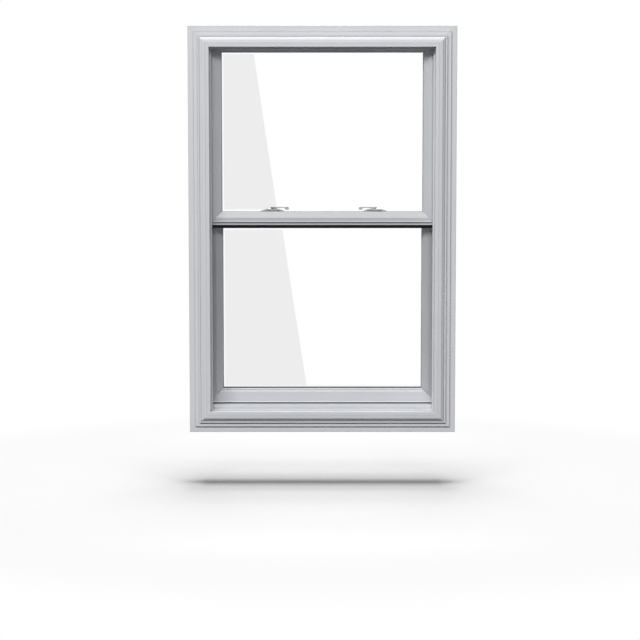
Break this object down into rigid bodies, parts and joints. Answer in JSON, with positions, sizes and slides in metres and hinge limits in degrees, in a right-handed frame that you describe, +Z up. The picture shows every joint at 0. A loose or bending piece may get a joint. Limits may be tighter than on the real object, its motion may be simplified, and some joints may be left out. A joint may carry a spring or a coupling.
{
  "type": "sash window",
  "caption": "Vinyl double-hung sash window with stepped brickmould, sliding double-glazed sashes, cam locks, tilt latches and spiral balances.",
  "frame": {"origin": "middle of the frame's underside, in the wall plane at the back of the brickmould flange", "axes": "+X along the width, +Y from outdoors to indoors, +Z up"},
  "size_m": [0.635, 0.1126, 0.9652],
  "materials": {
    "trim_vinyl": "satin, extruded",
    "frame_vinyl": "satin, extruded",
    "sash_vinyl": "satin, extruded",
    "bead_vinyl": "satin, extruded",
    "window_glass": "polished float glass",
    "spacer_aluminium": "mill finish",
    "zinc_plated_steel": "zinc plated",
    "tube_plastic": "extruded",
    "spring_steel": "rolled and twisted",
    "shoe_nylon": "moulded",
    "pile": "woven pile",
    "seal_rubber": "matte, extruded",
    "latch_plastic": "moulded",
    "lock_enamel": "baked enamel on zinc casting"
  },
  "bodies": {
    "frame": {"balance_tube_screws": "zinc_plated_steel", "brickmould_bottom": "trim_vinyl", "brickmould_head": "trim_vinyl", "brickmould_left": "trim_vinyl", "brickmould_right": "trim_vinyl", "frame_head": "frame_vinyl", "frame_jamb_left": "frame_vinyl", "frame_jamb_right": "frame_vinyl", "frame_sill": "frame_vinyl", "lower_balance_tube_left": "tube_plastic", "lower_balance_tube_right": "tube_plastic", "upper_balance_tube_left": "tube_plastic", "upper_balance_tube_right": "tube_plastic"},
    "upper_sash": {"keeper_screws": "zinc_plated_steel", "lock_keeper_left": "lock_enamel", "lock_keeper_right": "lock_enamel", "upper_balance_shoe_left": "shoe_nylon", "upper_balance_shoe_right": "shoe_nylon", "upper_glass_spacer": "spacer_aluminium", "upper_glazing_beads": "bead_vinyl", "upper_inner_pane": "window_glass", "upper_latch_troughs": "latch_plastic", "upper_meeting_rail": "sash_vinyl", "upper_outer_pane": "window_glass", "upper_pile_seals": "pile", "upper_pivot_bar_left": "zinc_plated_steel", "upper_pivot_bar_right": "zinc_plated_steel", "upper_spiral_rod_left": "spring_steel", "upper_spiral_rod_right": "spring_steel", "upper_stile_left": "sash_vinyl", "upper_stile_right": "sash_vinyl", "upper_top_rail": "sash_vinyl"},
    "lower_sash": {"lock_base_left": "lock_enamel", "lock_base_right": "lock_enamel", "lock_screws": "zinc_plated_steel", "lower_balance_shoe_left": "shoe_nylon", "lower_balance_shoe_right": "shoe_nylon", "lower_bottom_rail": "sash_vinyl", "lower_bottom_seal": "seal_rubber", "lower_check_rail": "sash_vinyl", "lower_glass_spacer": "spacer_aluminium", "lower_glazing_beads": "bead_vinyl", "lower_inner_pane": "window_glass", "lower_latch_troughs": "latch_plastic", "lower_outer_pane": "window_glass", "lower_pile_seals": "pile", "lower_pivot_bar_left": "zinc_plated_steel", "lower_pivot_bar_right": "zinc_plated_steel", "lower_spiral_rod_left": "spring_steel", "lower_spiral_rod_right": "spring_steel", "lower_stile_left": "sash_vinyl", "lower_stile_right": "sash_vinyl"},
    "lock_handle_left": {"lock_cam_left": "lock_enamel", "lock_lever_left": "lock_enamel"},
    "lock_handle_right": {"lock_cam_right": "lock_enamel", "lock_lever_right": "lock_enamel"},
    "upper_latch_left": {"upper_tilt_latch_left": "latch_plastic"},
    "upper_latch_right": {"upper_tilt_latch_right": "latch_plastic"},
    "lower_latch_left": {"lower_tilt_latch_left": "latch_plastic"},
    "lower_latch_right": {"lower_tilt_latch_right": "latch_plastic"}
  },
  "joints": [
    {"name": "lower_sash_slide", "type": "slide", "parent": "frame", "child": "lower_sash", "axis": [0, 0, 1], "range_m": [0, 0.37]},
    {"name": "upper_sash_slide", "type": "slide", "parent": "frame", "child": "upper_sash", "axis": [0, 0, -1], "range_m": [0, 0.34]},
    {"name": "lock_left_turn", "type": "hinge", "parent": "lower_sash", "child": "lock_handle_left", "pos_m": [-0.1195, 0.053, 0.497], "axis": [0, 0, 1], "range_deg": [0, 110]},
    {"name": "lock_right_turn", "type": "hinge", "parent": "lower_sash", "child": "lock_handle_right", "pos_m": [0.1265, 0.053, 0.497], "axis": [0, 0, -1], "range_deg": [0, 110]},
    {"name": "upper_latch_left_slide", "type": "slide", "parent": "upper_sash", "child": "upper_latch_left", "axis": [1, 0, 0], "range_m": [0, 0.008], "stiffness_N_per_m": 250, "springref_m": -0.004},
    {"name": "upper_latch_right_slide", "type": "slide", "parent": "upper_sash", "child": "upper_latch_right", "axis": [-1, 0, 0], "range_m": [0, 0.008], "stiffness_N_per_m": 250, "springref_m": -0.004},
    {"name": "lower_latch_left_slide", "type": "slide", "parent": "lower_sash", "child": "lower_latch_left", "axis": [1, 0, 0], "range_m": [0, 0.008], "stiffness_N_per_m": 250, "springref_m": -0.004},
    {"name": "lower_latch_right_slide", "type": "slide", "parent": "lower_sash", "child": "lower_latch_right", "axis": [-1, 0, 0], "range_m": [0, 0.008], "stiffness_N_per_m": 250, "springref_m": -0.004}
  ]
}
